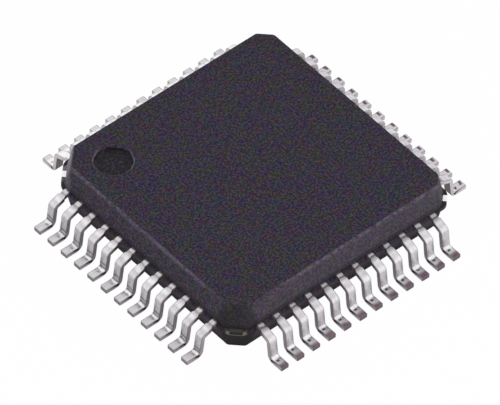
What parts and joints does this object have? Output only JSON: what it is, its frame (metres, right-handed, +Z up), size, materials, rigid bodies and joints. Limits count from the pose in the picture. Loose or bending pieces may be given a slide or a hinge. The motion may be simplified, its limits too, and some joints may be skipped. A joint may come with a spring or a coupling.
{
  "type": "quad flat pack chip",
  "caption": "Square moulded integrated-circuit package with gull-wing leads along all four sides, die pad, die and bond wires inside.",
  "frame": {"origin": "centre of the plane that the feet of the leads stand on, under the middle of the body", "axes": "+Z up through the top face; the pin-1 dimple is at the -X +Y corner, leads 1 to 12 run along -X, and the count goes on anticlockwise from above"},
  "size_m": [0.009, 0.009, 0.0014],
  "materials": {
    "mould_compound": "fine matt, black-grey epoxy moulding compound",
    "tin_plated_leads": "matt tin plating",
    "leadframe": "bare and spot-plated leadframe",
    "silver_adhesive": "silver-filled adhesive",
    "silicon": "polished silicon",
    "gold_wire": "bright drawn wire"
  },
  "bodies": {
    "root": {"mould_body": "mould_compound", "die_pad": "leadframe", "die_attach": "silver_adhesive", "die": "silicon", "bond_wires_side_1": "gold_wire", "bond_wires_side_2": "gold_wire", "bond_wires_side_3": "gold_wire", "bond_wires_side_4": "gold_wire", "lead_01": "tin_plated_leads", "lead_02": "tin_plated_leads", "lead_03": "tin_plated_leads", "lead_04": "tin_plated_leads", "lead_05": "tin_plated_leads", "lead_06": "tin_plated_leads", "lead_07": "tin_plated_leads", "lead_08": "tin_plated_leads", "lead_09": "tin_plated_leads", "lead_10": "tin_plated_leads", "lead_11": "tin_plated_leads", "lead_12": "tin_plated_leads", "lead_13": "tin_plated_leads", "lead_14": "tin_plated_leads", "lead_15": "tin_plated_leads", "lead_16": "tin_plated_leads", "lead_17": "tin_plated_leads", "lead_18": "tin_plated_leads", "lead_19": "tin_plated_leads", "lead_20": "tin_plated_leads", "lead_21": "tin_plated_leads", "lead_22": "tin_plated_leads", "lead_23": "tin_plated_leads", "lead_24": "tin_plated_leads", "lead_25": "tin_plated_leads", "lead_26": "tin_plated_leads", "lead_27": "tin_plated_leads", "lead_28": "tin_plated_leads", "lead_29": "tin_plated_leads", "lead_30": "tin_plated_leads", "lead_31": "tin_plated_leads", "lead_32": "tin_plated_leads", "lead_33": "tin_plated_leads", "lead_34": "tin_plated_leads", "lead_35": "tin_plated_leads", "lead_36": "tin_plated_leads", "lead_37": "tin_plated_leads", "lead_38": "tin_plated_leads", "lead_39": "tin_plated_leads", "lead_40": "tin_plated_leads", "lead_41": "tin_plated_leads", "lead_42": "tin_plated_leads", "lead_43": "tin_plated_leads", "lead_44": "tin_plated_leads", "lead_45": "tin_plated_leads", "lead_46": "tin_plated_leads", "lead_47": "tin_plated_leads", "lead_48": "tin_plated_leads"}
  },
  "joints": []
}
